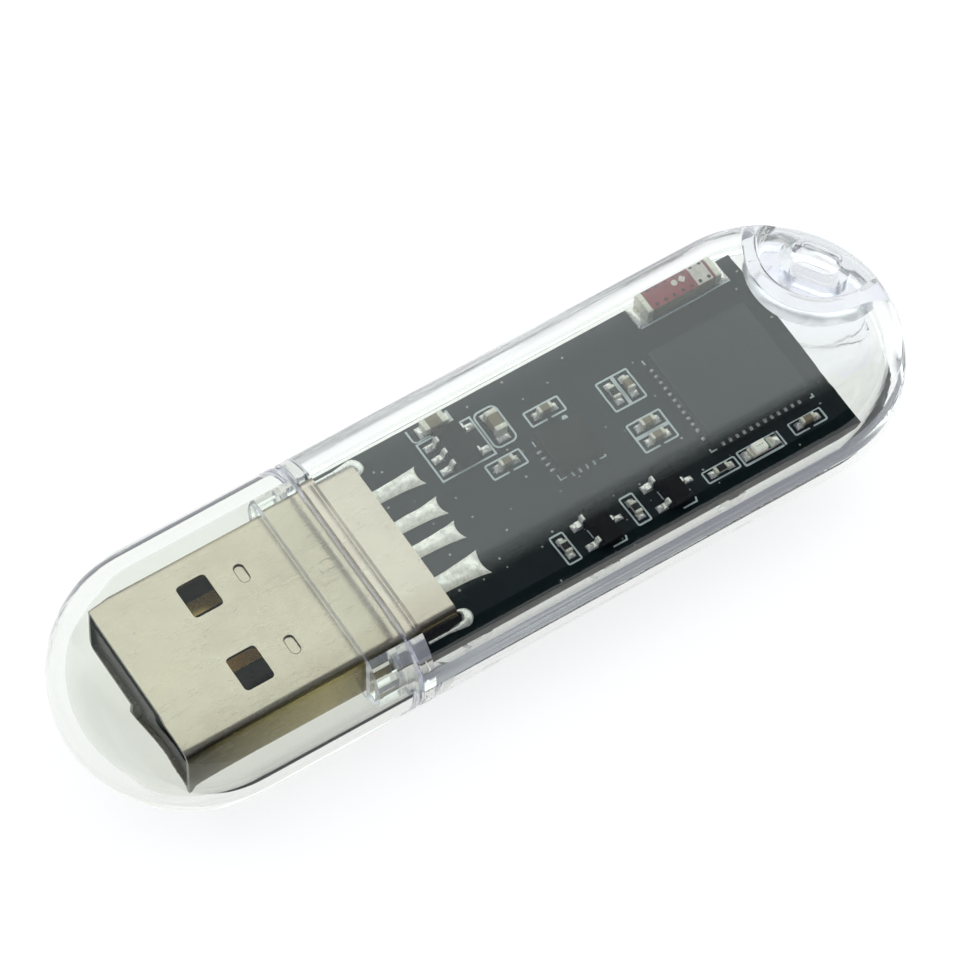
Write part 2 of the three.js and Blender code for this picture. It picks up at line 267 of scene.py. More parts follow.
def make_clear_plastic(name, bend, tint, haze=0.0):
    """Clear moulding; shadows and diffuse light pass straight through it."""
    material, tree, shader = new_material(name, Base_Color=tint, Transmission_Weight=1.0, IOR=bend)
    cloud = noise_texture(tree, 0.8, 4.0, 0.65)
    feed(shader, Roughness=spread(tree, cloud, haze, haze + 0.03, 0.5, 0.8))
    waves = work(tree, "MULTIPLY", noise_texture(tree, 0.3, 2.0), 0.004)
    bump(tree, shader, work(tree, "ADD", crown(tree), waves), 1.0, 1.0)
    lets_through = add_node(tree, "ShaderNodeBsdfTransparent", Color=(0.94, 0.95, 0.94))
    path = add_node(tree, "ShaderNodeLightPath").outputs
    soft_light = work(tree, "MAXIMUM", path["Is Shadow Ray"], path["Is Diffuse Ray"])
    mix_surface(tree, soft_light, shader, lets_through)
    return material


def make_frosted_lip():
    """The cut-off rims of the case, left matt by the mould, coloured a pale lilac that is a painted
    reflection.
    """
    material, tree, shader = new_material("frosted_lip", Roughness=0.5)
    # Painted lilac reflection in the rims' colour, in patches over clear plastic.
    tone = ramp(tree, noise_texture(tree, 1.2, 3.0), [(0.3, (0.5, 0.5, 0.62)), (0.7, (0.72, 0.72, 0.8))])
    feed(shader, Base_Color=tone)
    clear = add_node(tree, "ShaderNodeBsdfTransparent", Color=(0.93, 0.94, 0.97))
    mix_surface(tree, spread(tree, noise_texture(tree, 2.0, 3.0), 0.35, 0.6), clear, shader)
    return material


def make_plug_metal():
    """Nickel-plated sheet: warm, faintly blotched, with fine pits and drawing marks; its upright sides carry
    painted shade and a painted olive-brown reflection.
    """
    material, tree, shader = new_material("plug_nickel", Metallic=1.0)
    colour = ramp(tree, noise_texture(tree, 0.25, 5.0, 0.6),
                  [(0.3, (0.55, 0.48, 0.405)), (0.55, (0.605, 0.535, 0.455)), (0.75, (0.62, 0.54, 0.44))])
    pits = spread(tree, noise_texture(tree, 3.2, 2.0, 0.5), 0.0, 0.6, 0.7, 0.76)
    pitted = blend(tree, pits, colour, (0.3, 0.27, 0.2))
    along = spread(tree, axes(tree, object_point(tree))["X"], 0, 1, PLUG_FRONT, PLUG_REAR)
    # Painted shade and painted olive-brown reflection on the shell's upright sides: dark towards both ends,
    # olive-brown in the middle.
    flank = ramp(tree, along,
                 [(0.05, (0.05, 0.042, 0.02)), (0.5, (0.33, 0.28, 0.13)), (0.75, (0.1, 0.08, 0.04))])
    drawn = noise_texture(tree, 6.0, 4.0, 0.7, stretch=(0.12, 1.0, 1.0))
    feed(shader, Base_Color=blend(tree, side_facing(tree, 0.75, 0.93), pitted, flank),
         Roughness=spread(tree, drawn, 0.16, 0.3))
    bump(tree, shader, noise_texture(tree, 5.0, 5.0, 0.7), 0.25, 0.01)
    return material


def make_board_finish():
    """Black solder mask on top and below, olive-brown glass fibre on the cut edges, specks of dust."""
    material, tree, shader = new_material("solder_mask_black", Specular_Tint=(0.75, 0.95, 1.0),
                                          Specular_IOR_Level=0.03)
    mask = ramp(tree, noise_texture(tree, 0.7, 4.0),
                [(0.3, (0.003, 0.008, 0.009)), (0.7, (0.006, 0.013, 0.0135))])
    cells = add_node(tree, "ShaderNodeTexVoronoi", {"voronoi_dimensions": "2D"},
                     Vector=object_point(tree), Scale=0.5)
    grain = spread(tree, noise_texture(tree, 0.9, 1.0), -0.02, 0.02, 0.4, 0.7)
    speck = spread(tree, work(tree, "ADD", cells.outputs["Distance"], grain), 1.0, 0.0, 0.012, 0.03)
    fibre = ramp(tree, noise_texture(tree, 3.0, 4.0, 0.7, stretch=(0.3, 0.3, 6.0)),
                 [(0.35, (0.006, 0.0055, 0.0035)), (0.65, (0.035, 0.03, 0.016))])
    dusty = blend(tree, speck, mask, (0.4, 0.4, 0.37))
    feed(shader, Base_Color=blend(tree, side_facing(tree), dusty, fibre),
         Roughness=spread(tree, noise_texture(tree, 3.0, 4.0), 0.28, 0.4))
    return material


CLEAR = make_clear_plastic("clear_plastic_body", 1.55, (0.905, 0.915, 0.89))
CLEAR_CAP = make_clear_plastic("clear_plastic_cap", 1.27, (0.86, 0.876, 0.836))
# The neck's copy is left nearly untinted, a painted lightening that cancels the darkening where its walls sit
# inside the cap's.
CLEAR_NECK = make_clear_plastic("clear_plastic_neck", 1.3, (0.99, 0.99, 0.985))
# The pocket's copy is tinted lilac, painted shade standing in for the lilac shading of its walls; its haze is
# roughness.
CLEAR_POCKET = make_clear_plastic("clear_plastic_pocket", 1.5, (0.9, 0.905, 0.945), 0.12)
LIP = make_frosted_lip()
NICKEL = make_plug_metal()
MASK = make_board_finish()
# Dark ribbon round each dimple: painted shade in the pressed crease.
PAINTED_CREASE_SHADE = mottled("crease_painted_shade", (0.06, 0.052, 0.035), (0.14, 0.12, 0.085), (0.3, 0.5), 2.0, 0.6)
INSULATOR = mottled("plug_black_plastic", (0.006, 0.007, 0.0075), (0.014, 0.0155, 0.0165),
                    (0.3, 0.5), 1.5, 0, 0, 0.25)
# The gold contacts carry a faint painted glow that lifts them out of the shade inside the plug.
GOLD = mottled("contact_gold", (0.72, 0.48, 0.16), (0.85, 0.62, 0.26), (0.18, 0.32), 3.0, 1.0, 0.006,
               glow=((0.9, 0.62, 0.22), 0.05))
SOLDER = mottled("solder_tin", (0.9, 0.88, 0.8), (0.99, 0.98, 0.92), (0.24, 0.34), 1.3, 0.65)
# The tail solder carries a painted glow that brightens it beyond what the lamps give.
TAIL_SOLDER = mottled("tail_solder_tin", (0.3, 0.3, 0.27), (1.0, 1.0, 0.95), (0.28, 0.36), 2.2, 0.3,
                      glow=((0.95, 0.96, 0.82), 0.32))
SILK = mottled("silkscreen_ink", (0.55, 0.62, 0.62), (0.72, 0.78, 0.77), (0.5, 0.7), 6.0, 0, 0.006)
PAD = mottled("bright_pad", (0.85, 0.86, 0.84), (0.97, 0.97, 0.95), (0.3, 0.45), 4.0)
DARK_EPOXY = mottled("chip_epoxy_dark", (0.002, 0.003, 0.0032), (0.004, 0.005, 0.0052),
                     (0.5, 0.6), 2.0, 0, 0, 0.03)
EPOXY = mottled("chip_epoxy", (0.009, 0.019, 0.023), (0.014, 0.026, 0.031), (0.4, 0.5), 1.0, 0, 0, 0.16)
BROWN_EPOXY = mottled("chip_epoxy_brown", (0.009, 0.008, 0.0055), (0.014, 0.0125, 0.009),
                      (0.5, 0.6), 2.0, 0, 0, 0.05)
LASER = mottled("laser_mark", (0.02, 0.021, 0.019), (0.04, 0.041, 0.036), (0.6, 0.7), 4.0, 0, 0, 0.1)
# Near-black fill set down in the legs' slots: painted shade in the holes.
SLOT_SHADE = mottled("slot_painted_shade", (0.004, 0.004, 0.003), (0.02, 0.018, 0.01), (0.3, 0.5), 2.0, 0, 0, 0.2)
CERAMIC = mottled("capacitor_ceramic", (0.2, 0.145, 0.075), (0.31, 0.245, 0.15), (0.4, 0.6), 5.0, 0, 0.008)
TERMINAL = mottled("tinned_terminal", (0.6, 0.57, 0.46), (0.9, 0.87, 0.76), (0.25, 0.5), 6.0, 0.5, 0.012)
RESISTOR = mottled("resistor_glaze", (0.004, 0.004, 0.005), (0.012, 0.012, 0.011),
                   (0.25, 0.4), 5.0, 0, 0, 0.2)
ALUMINA = mottled("resistor_alumina", (0.5, 0.5, 0.46), (0.7, 0.7, 0.66), (0.5, 0.7), 5.0)
# The LED's cream resin carries a painted glow that brightens it.
CREAM = mottled("led_cream_resin", (0.75, 0.74, 0.6), (0.98, 0.97, 0.88), (0.2, 0.4), 3.0, 0, 0.008,
                glow=((0.95, 0.95, 0.85), 0.2))
GREEN = mottled("led_green_mark", (0.01, 0.13, 0.08), (0.03, 0.22, 0.15), (0.3, 0.45), 4.0)
PRINT_RED = mottled("antenna_red_print", (0.24, 0.022, 0.03), (0.37, 0.055, 0.065),
                    (0.4, 0.55), 1.6, 0, 0, 0.2)
PRINT_PALE = mottled("antenna_pale_print", (0.6, 0.54, 0.46), (0.8, 0.75, 0.66), (0.4, 0.55), 4.0, 0, 0, 0.3)
PRINT_DARK = mottled("antenna_dark_dots", (0.028, 0.004, 0.007), (0.06, 0.01, 0.014),
                     (0.5, 0.6), 4.0, 0, 0, 0.2)
ANTENNA_CORE = mottled("antenna_ceramic", (0.12, 0.1, 0.06), (0.25, 0.215, 0.14), (0.5, 0.7), 3.0, 0, 0.01)


# ---------- mesh helpers ----------

SHARP_FROM = math.radians(32)


def make_piece(name, bm, materials, slot=None, stands_for=(), ride=True):
    """Turns a millimetre bmesh into a piece in metres, riding on the housing."""
    for vert in bm.verts:
        vert.co *= MM
    bmesh.ops.recalc_face_normals(bm, faces=bm.faces)
    mesh = bpy.data.meshes.new(name)
    bm.to_mesh(mesh)
    bm.free()
    for material in materials:
        mesh.materials.append(material)
    obj = bpy.data.objects.new(name, mesh)
    bpy.context.scene.collection.objects.link(obj)
    smooth(mesh)
    if ride:
        place(obj, "housing", slot, stands_for)
    return obj


def smooth(mesh):
    mesh.polygons.foreach_set("use_smooth", [True] * len(mesh.polygons))
    mesh.set_sharp_from_angle(angle=SHARP_FROM)


def dress(obj, materials, width, name=None):
    """Gives a piece its materials, breaks its edges and, where asked, renames and smooths it."""
    obj.data.materials.clear()
    for material in materials:
        obj.data.materials.append(material)
    modifier = obj.modifiers.new("soft_edges", "BEVEL")
    modifier.width = width * MM
    modifier.segments = 2
    modifier.limit_method = "ANGLE"
    modifier.angle_limit = math.radians(40)
    if name:
        obj.name = name
        obj.data.name = name
        smooth(obj.data)


def place(obj, body, slot, stands_for):
    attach(obj, body)
    if stands_for:
        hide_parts(*stands_for)


def paint_new(bm, before, index):
    for face in set(bm.faces) - before:
        face.material_index = index


def bevel(bm, edges, width, segments):
    bmesh.ops.bevel(bm, geom=edges, offset=width, segments=segments, profile=0.5, affect="EDGES")


def add_box(bm, lo, hi, material=0, rounding=0.0, segments=2):
    before = set(bm.faces)
    size = Vector(hi) - Vector(lo)
    middle = (Vector(hi) + Vector(lo)) / 2
    matrix = Matrix.Translation(middle) @ Matrix.Diagonal((*size, 1))
    verts = bmesh.ops.create_cube(bm, size=1, matrix=matrix)["verts"]
    if rounding:
        bevel(bm, list({edge for vert in verts for edge in vert.link_edges}), rounding, segments)
    paint_new(bm, before, material)


def add_loft(bm, rings, closed=False):
    """A skin over rings of points, capped at both ends or closed on itself; gives back its faces."""
    rings = [[bm.verts.new(point) for point in ring] for ring in rings]
    pairs = list(zip(rings, rings[1:])) + ([(rings[-1], rings[0])] if closed else [])
    faces = []
    for low, high in pairs:
        for i in range(len(low)):
            j = (i + 1) % len(low)
            faces.append(bm.faces.new((low[i], low[j], high[j], high[i])))
    if not closed:
        faces += [bm.faces.new(rings[0][::-1]), bm.faces.new(rings[-1])]
    return faces


def add_prism(bm, outline, z0, z1, material=0):
    """A straight-sided solid on an outline of (x, y) points."""
    for face in add_loft(bm, [[(x, y, z) for x, y in outline] for z in (z0, z1)]):
        face.material_index = material


def add_mound(bm, rows, material=0):
    """A bumpy sheet over rows of points, closed underneath by one face round its rim."""
    rows = [[bm.verts.new(point) for point in row] for row in rows]
    rim = [row[0] for row in rows[:-1]] + rows[-1][:-1]
    rim += [row[-1] for row in rows[:0:-1]] + rows[0][:0:-1]
    faces = [bm.faces.new((a[j], b[j], b[j + 1], a[j + 1]))
             for a, b in zip(rows, rows[1:]) for j in range(len(a) - 1)]
    for face in faces + [bm.faces.new(rim)]:
        face.material_index = material


def arc(cx, cy, radius, start, end, steps):
    """Points on an arc, angles in degrees."""
    return [(cx + radius * math.cos(math.radians(start + (end - start) * i / steps)),
             cy + radius * math.sin(math.radians(start + (end - start) * i / steps)))
            for i in range(steps + 1)]


def stadium(x0, x1, y, radius, steps=FINE_ARC):
    return arc(x1, y, radius, -90, 90, steps) + arc(x0, y, radius, 90, 270, steps)


def rounded_rectangle(cx, cy, half_x, half_y, radius, steps=6):
    x, y = half_x - radius, half_y - radius
    corners = [(x, -y, -90), (x, y, 0), (-x, y, 90), (-x, -y, 180)]
    return [p for dx, dy, turn in corners for p in arc(cx + dx, cy + dy, radius, turn, turn + 90, steps)]


def add_ribbon(bm, points, width, z0, z1, closed=False):
    """A flat strip of constant width along a line of points, with mitred corners."""
    points = [Vector(p) for p in points]
    count = len(points)
    rings = []
    for i, point in enumerate(points):
        first = (point - points[i - 1]).normalized() if closed or i else None
        second = (points[(i + 1) % count] - point).normalized() if closed or i + 1 < count else None
        first = first or second
        second = second or first
        normal = Vector((-first.y - second.y, first.x + second.x)).normalized()
        reach = width / 2 / max(0.3, normal.dot(Vector((-first.y, first.x))))
        left, right = point + normal * reach, point - normal * reach
        rings.append([(*left, z0), (*left, z1), (*right, z1), (*right, z0)])
    add_loft(bm, rings, closed)


def add_pillow(bm, lo, hi, height, material, steps, power, ripple):
    """A drop of solder on a rectangle of the board: full in the middle, thin at its rim."""
    middle = [(lo[i] + hi[i]) / 2 for i in range(2)]
    half = [(hi[i] - lo[i]) / 2 for i in range(2)]
    places = [-math.cos(math.pi * i / steps) for i in range(steps + 1)]

    def point(u, v):
        x, y = middle[0] + half[0] * u, middle[1] + half[1] * v
        rise = max(0.0, (1 - abs(u) ** power) * (1 - abs(v) ** power)) ** 0.6
        wave = 1 + ripple * noise.noise(Vector((x * 2.3, y * 2.3, height * 7)))
        return x, y, ON_BOARD + height * rise * wave

    add_mound(bm, [[point(u, v) for v in places] for u in places], material)


def combine(obj, tool, operation="DIFFERENCE"):
    """Joins or cuts obj with a tool solid and keeps the result as plain mesh."""
    modifier = obj.modifiers.new("boolean", "BOOLEAN")
    modifier.operation = operation
    modifier.solver = "EXACT"
    modifier.object = tool
    graph = bpy.context.evaluated_depsgraph_get()
    mesh = bpy.data.meshes.new_from_object(obj.evaluated_get(graph))
    obj.modifiers.clear()
    obj.data = mesh
    bpy.data.objects.remove(tool)
    return obj


def tool_from(bm):
    """A solid that joins or cuts another and is then thrown away."""
    return make_piece("tool", bm, [CLEAR], ride=False)


def box_tool(lo, hi):
    bm = bmesh.new()
    add_box(bm, lo, hi)
    return tool_from(bm)


def loft_tool(rings):
    bm = bmesh.new()
    add_loft(bm, rings)
    return tool_from(bm)


def prism_tool(outline, z0, z1, turn=0.0, shift=(0, 0)):
    bm = bmesh.new()
    add_prism(bm, outline, z0, z1)
    matrix = Matrix.Translation((*shift, 0)) @ Matrix.Rotation(turn, 4, "Z")
    bmesh.ops.transform(bm, matrix=matrix, verts=bm.verts)
    return tool_from(bm)


# ---------- the clear case ----------

def case_form(inset):
    """The closed case form, drawn in by inset on every side."""
    reach = EDGE_REACH - inset
    rise = (CASE_HEIGHT - EDGE_LAND) / 2 - inset
    rings = []
    for side in (-1, 1):
        for i in range(FINE_EDGE + 1):
            t = math.pi / 2 * (FINE_EDGE - i if side < 0 else i) / FINE_EDGE
            radius = CASE_HALF_WIDTH - inset - reach * (1 - math.cos(t))
            z = MID_Z + side * (EDGE_LAND / 2 + rise * math.sin(t))
            rings.append([(x, y, z) for x, y in stadium(-CASE_END, CASE_END, 0, radius)])
    return loft_tool(rings)


def behind(x):
    return box_tool((x, -FAR, -FAR), (FAR, FAR, FAR))


def ahead(x):
    return box_tool((-FAR, -FAR, -FAR), (x, FAR, FAR))


def round_rim(obj, x, width):
    """Rounds the outer edge where the case form is cut across at x."""
    bm = bmesh.new()
    bm.from_mesh(obj.data)

    def outside(vert):
        y, z = abs(vert.co.y / MM), abs(vert.co.z / MM - MID_Z) - EDGE_LAND / 2
        rise = (CASE_HEIGHT - EDGE_LAND) / 2
        if z > rise - 0.05:
            return True
        turn = math.asin(max(0.0, z) / rise)
        return y > CASE_HALF_WIDTH - EDGE_REACH * (1 - math.cos(turn)) - 0.1

    rim = [edge for edge in bm.edges
           if all(abs(vert.co.x / MM - x) < 0.01 and outside(vert) for vert in edge.verts)]
    bevel(bm, rim, width * MM, 4)
    bm.to_mesh(obj.data)
    bm.free()


def make_case_cap():
    cap = case_form(0)
    combine(cap, case_form(WALL))
    combine(cap, behind(cap_hi.x))
    round_rim(cap, cap_hi.x, 0.3)
    return cap


def flared(outline, levels):
    """A cutter that changes width as it rises: outline(grow) at each (z, grow) level."""
    return loft_tool([[(x, y, z) for x, y in outline(grow)] for z, grow in levels])


def corner_disc(grow):
    return arc(*POCKET, POCKET_RADIUS + grow, 0, 357.5, 143)


def slot_outline(grow):
    straight = (SLOT_LENGTH - SLOT_WIDTH) / 2
    flat = stadium(-straight, straight, 0, SLOT_WIDTH / 2 + grow, 24)
    c, t = math.cos(SLOT_TURN), math.sin(SLOT_TURN)
    return [(SLOT.x + c * x - t * y, SLOT.y + t * x + c * y) for x, y in flat]


def quarter():
    """How far a rounded lip has opened at each step of its rise."""
    steps = 6
    turns = [math.pi / 2 * i / steps for i in range(steps + 1)]
    return [(math.sin(turn), 1 - math.cos(turn)) for turn in turns]


def mirrored(levels):
    """The same levels measured down from the top of the case."""
    return [(CASE_HEIGHT - z, grow) for z, grow in reversed(levels)]


def board_room():
    room = case_form(WALL)
    combine(room, ahead(SEAM_X + FRONT_WALL))
    combine(room, flared(slot_outline, [(-1, BOSS_WALL), (CASE_HEIGHT + 1, BOSS_WALL)]))
    soft = 0.35
    reach = POCKET_DEPTH + POCKET_FLOOR
    below = [(-1, POCKET_WALL)]
    below += [(reach - soft + soft * up, POCKET_WALL - soft * out) for up, out in quarter()]
    combine(room, flared(corner_disc, below))
    combine(room, flared(corner_disc, mirrored(below)))
    return room


def pocket():
    """Levels of the lower pocket cutter: a rounded lip, a straight wall and a filleted floor."""
    lip, fillet = 0.5, 0.45
    levels = [(-1, lip)] + [(lip * out, lip * (1 - up)) for up, out in quarter()]
    levels += [(POCKET_DEPTH - fillet + fillet * up, -fillet * out) for up, out in quarter()]
    return levels


def slot_lips():
    """Levels of the slot cutter, rounded over where it meets the two pocket floors."""
    lip = 0.3
    low = [(-1, lip)] + [(POCKET_DEPTH + lip * out, lip * (1 - up)) for up, out in quarter()]
    return low + mirrored(low)


def click_bump(side):
    surface = MID_Z + side * (MID_Z - WALL - NECK_PLAY)
    levels = sorted((surface - side * 0.3, surface + side * 0.09))
    outline = arc(SEAM_X - 1.1, 0, 0.55, 200, -20, 20)
    return prism_tool(outline, *levels)


def make_case_body():
    body = case_form(0)
    combine(body, ahead(SEAM_X + SEAM_GAP / 2))
    round_rim(body, SEAM_X + SEAM_GAP / 2, 0.22)
    neck = case_form(WALL + NECK_PLAY)
    combine(neck, ahead(SEAM_X - NECK_LENGTH))
    combine(neck, behind(SEAM_X + FRONT_WALL / 2))
    combine(body, neck, "UNION")
    combine(body, board_room())
    half = PLUG_WIDTH / 2 + 0.1
    for side in (-1, 1):
        y = side * (CASE_HALF_WIDTH - WALL)
        x = SEAM_X + FRONT_WALL
        outline = [(x - 0.6, y + side * 0.5), (x - 0.6, y - side * 0.9), (x + 0.1, y - side * 0.9),
                   (x + 2.2, y + side * 0.5)]
        gusset = prism_tool(outline, WALL + 0.6, board_lo.z - 0.4)
        combine(gusset, case_form(0.3), "INTERSECT")
        combine(body, gusset, "UNION")
        groove = side * (half + 0.65)
        combine(body, box_tool((-FAR, groove - 0.25, MID_Z - 1.5),
                               (SEAM_X - NECK_LENGTH + 1.5, groove + 0.25, MID_Z + 1.5)))
    combine(body, box_tool((-FAR, -half, PLUG_Z - PLUG_HEIGHT / 2 - 0.1),
                           (SEAM_X + FRONT_WALL + 1, half, PLUG_Z + PLUG_HEIGHT / 2 + 0.1)))
    combine(body, flared(corner_disc, pocket()))
    combine(body, flared(corner_disc, mirrored(pocket())))
    combine(body, flared(slot_outline, slot_lips()))
    for side in (-1, 1):
        combine(body, click_bump(side), "UNION")
    return body


def copy_of(obj):
    twin = obj.copy()
    twin.data = obj.data.copy()
    bpy.context.scene.collection.objects.link(twin)
    return twin


RIM_SKIN, NECK_SKIN, POCKET_SKIN = 1, 2, 3


def finish_faces(mesh, is_cap):
    """Frosts the cut-off rims, keeps the neck clearer as a painted lightening where it sits inside the cap,
    and makes the lanyard pocket hazy, its lilac tint painted shade.
    """
    for face in mesh.polygons:
        x, y, z = face.center / MM
        inside = math.hypot(x - CASE_END, y) < CASE_HALF_WIDTH - 0.5 and abs(z - MID_Z) < MID_Z - 0.5
        if inside and math.hypot(x - POCKET.x, y - POCKET.y) < POCKET_RADIUS + POCKET_WALL + 0.3:
            face.material_index = POCKET_SKIN
        if abs(face.normal.x) > 0.9 and SEAM_X - NECK_LENGTH - 0.1 < x < SEAM_X + 0.2:
            face.material_index = RIM_SKIN
        elif not is_cap and x < SEAM_X:
            face.material_index = NECK_SKIN


def make_case():
    cap = make_case_cap()
    whole = make_case_body()
    upper = combine(copy_of(whole), box_tool((-FAR, -FAR, -FAR), (FAR, FAR, MID_Z + PARTING_GAP / 2)))
    lower = combine(whole, box_tool((-FAR, -FAR, MID_Z - PARTING_GAP / 2), (FAR, FAR, FAR)))
    for x in (-4.5, 4.5, 13.5):
        for side in (-1, 1):
            y = centre("circuit_board").y + side * ((board_hi.y - board_lo.y) / 2 - 0.35)
            ledge = box_tool((x - 0.6, y - 0.4, WALL - 0.3), (x + 0.6, y + 0.4, board_lo.z - 0.03))
            combine(ledge, case_form(0.3), "INTERSECT")
            combine(lower, ledge, "UNION")
    for obj, name, body, node in ((cap, "case_cap", "cap", "cap"),
                                  (upper, "case_upper", "housing", "upper_shell"),
                                  (lower, "case_lower", "housing", "lower_shell")):
        dress(obj, [CLEAR_CAP if node == "cap" else CLEAR, LIP, CLEAR_NECK, CLEAR_POCKET], 0.07, name)
        finish_faces(obj.data, node == "cap")
        place(obj, body, "clear_plastic", [node])


make_case()


# ---------- the USB plug ----------

PLUG_FACES = (PLUG_Z - PLUG_HEIGHT / 2, PLUG_Z + PLUG_HEIGHT / 2)


def extrude_along_x(outline, x0, x1):
    bm = bmesh.new()
    add_prism(bm, outline, x0, x1)
    matrix = Matrix(((0, 0, 1, 0), (1, 0, 0, 0), (0, 1, 0, PLUG_Z), (0, 0, 0, 1)))
    bmesh.ops.transform(bm, matrix=matrix, verts=bm.verts)
    return tool_from(bm)


def make_plug():
    shell = extrude_along_x(rounded_rectangle(0, 0, PLUG_WIDTH / 2, PLUG_HEIGHT / 2, PLUG_CORNER, 8),
                            PLUG_FRONT, PLUG_REAR)
    bore = rounded_rectangle(0, 0, PLUG_WIDTH / 2 - SHEET, PLUG_HEIGHT / 2 - SHEET, PLUG_CORNER - SHEET, 8)
    combine(shell, extrude_along_x(bore, PLUG_FRONT - 1, PLUG_REAR + 1))
    combine(shell, box_tool((board_lo.x - 0.2, -FAR, -FAR), (FAR, FAR, BOARD_TOP + 0.03)))
    combine(shell, box_tool((-FAR, -0.04, -FAR), (FAR, 0.04, PLUG_Z)))
    for side in (-1, 1):
        window = rounded_rectangle(WINDOW_X, side * HOLE_Y, 1.0, 1.225, 0.28)
        combine(shell, prism_tool(window, -1, CASE_HEIGHT))
        dimple = stadium(-0.35, 0.35, 0, 0.35, 10)
        for level in PLUG_FACES:
            shift = (DIMPLE_X, side * HOLE_Y)
            combine(shell, prism_tool(dimple, level - 0.14, level + 0.14, math.pi / 2, shift))
        y = side * (PLUG_WIDTH / 2 - SHEET / 2)
        leg = box_tool((-7.4, y - SHEET / 2, board_lo.z - 0.5), (-5.75, y + SHEET / 2, BOARD_TOP + 0.4))
        combine(shell, leg, "UNION")
    dress(shell, [NICKEL], 0.06, "plug_shell_fine")
    place(shell, "housing", "plug_metal", ["plug_shell"])


def make_dimple_rims():
    """A painted shade line round each oval catch in the plug's shell, where the pressed edge falls dark."""
    bm = bmesh.new()
    for side in (-1, 1):
        for level in PLUG_FACES:
            oval = [(DIMPLE_X - y, side * HOLE_Y + x) for x, y in stadium(-0.35, 0.35, 0, 0.36, 10)]
            inward = 1 if level < PLUG_Z else -1
            low, high = sorted((level + inward * 0.06, level + inward * 0.002))
            add_ribbon(bm, oval, 0.09, low, high, True)
    make_piece("dimple_rims", bm, [PAINTED_CREASE_SHADE], "plug_metal")


make_plug()
make_dimple_rims()


# ---------- carried-over CAD nodes ----------

dress(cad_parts["plug_insulator"], [INSULATOR], 0.08)
dress(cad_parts["circuit_board"], [MASK], 0.03)
for contact in ("contact_vbus", "contact_data_minus", "contact_data_plus", "contact_ground"):
    dress(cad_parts[contact], [GOLD], 0.04)


# ---------- solder on the plug ----------

def make_tail_solder(node, extra):
    """Flared bed of solder over a contact's tail, its outer corners drawn out along the pad."""
    lo, hi = span(node)
    middle = (lo.y + hi.y) / 2
    x0, length = lo.x - 0.06, hi.x - lo.x + 0.06

    def point(s, v):
        half = 0.43 + extra + 0.08 * s + 0.2 * s ** 4
        height = 0.4 * (1 - s ** 12) ** 0.7 + 0.03
        x = x0 + length * s - 0.24 * (1 - abs(v) ** 2.2) * s ** 8
        y = middle + half * v
        rise = height * (1 - abs(v) ** 3.2) ** 0.55
        wave = 1 + 0.3 * noise.noise(Vector((x * 1.3, y * 1.8, middle)))
        return x, y, BOARD_TOP + 0.005 + rise * wave

    along = [i / 22 for i in range(23)]
    across = [-math.cos(math.pi * j / 12) for j in range(13)]
    bm = bmesh.new()
    add_mound(bm, [[point(s, v) for v in across] for s in along])
    make_piece(f"{node}_fine", bm, [TAIL_SOLDER], "solder", [node])


def add_bead(bm, points, halves, heights):
    """A half-round bead of varying width on the board, along a line of points."""
    z0 = BOARD_TOP + 0.003
    points = [Vector(p) for p in points]
    turns = [math.pi * j / 8 for j in range(9)]
    rings = []
    for i, point in enumerate(points):
        onward = points[min(i + 1, len(points) - 1)] - points[max(i - 1, 0)]
        normal = Vector((-onward.y, onward.x)).normalized()
        rings.append([(*(point + normal * halves[i] * math.cos(turn)), z0 + heights[i] * math.sin(turn))
                      for turn in turns])
    add_loft(bm, rings)


def make_leg_solder(node, side):
    """Bright bead round the leg's slot, fattest where it climbs the tail end of the leg."""
    y = side * LEG_SLOT_Y
    tail = LEG_SLOT_X + LEG_SLOT_STRAIGHT
    turn = [(tail + 0.5 * math.cos(a), y + side * 0.5 * math.sin(a))
            for a in (math.radians(-75 + 165 * i / 14) for i in range(15))]
    run = [(tail - 0.35 * i, y + side * 0.5) for i in range(1, 8)]
    swell = [math.sin(math.pi * min(1.0, i / 17)) for i in range(len(turn) + len(run))]
    halves = [0.1 + 0.24 * s for s in swell]
    heights = [max(0.04 + 0.14 * s, 0.05) for s in swell]
    bm = bmesh.new()
    add_bead(bm, turn + run, halves, heights)
    make_piece(f"{node}_fine", bm, [SOLDER], "solder", [node])
    # A near-black solid deep in the leg's slot: painted shade in the hole.
    bm = bmesh.new()
    hole = stadium(LEG_SLOT_X - LEG_SLOT_STRAIGHT, tail, y, 0.47, 16)
    add_prism(bm, hole, board_lo.z + 0.05, board_lo.z + 0.25)
    make_piece(f"slot_shade_fill_{'left' if side < 0 else 'right'}", bm, [SLOT_SHADE], "board")


for number in range(1, 5):
    make_tail_solder(f"tail_solder_{number}", 0.05 if number == 4 else 0.0)
make_leg_solder("leg_solder_left", -1)
make_leg_solder("leg_solder_right", 1)


# ---------- components ----------

PAD_PITCH = 0.5
LEAD_THICKNESS = 0.12
LEAD_WIDTH = 0.4


def add_end_solder(bm, middle, reach, half, turned, height, index):
    """A fillet of solder beyond each end of a two-terminal chip."""
    cx, cy, _ = middle
    for side in (-1, 1):
        a, b = sorted(side * away for away in reach)
        if turned:
            lo, hi = (cx - half, cy + a), (cx + half, cy + b)
        else:
            lo, hi = (cx + a, cy - half), (cx + b, cy + half)
        add_pillow(bm, lo, hi, height, index, 8, 2.4, 0.7)


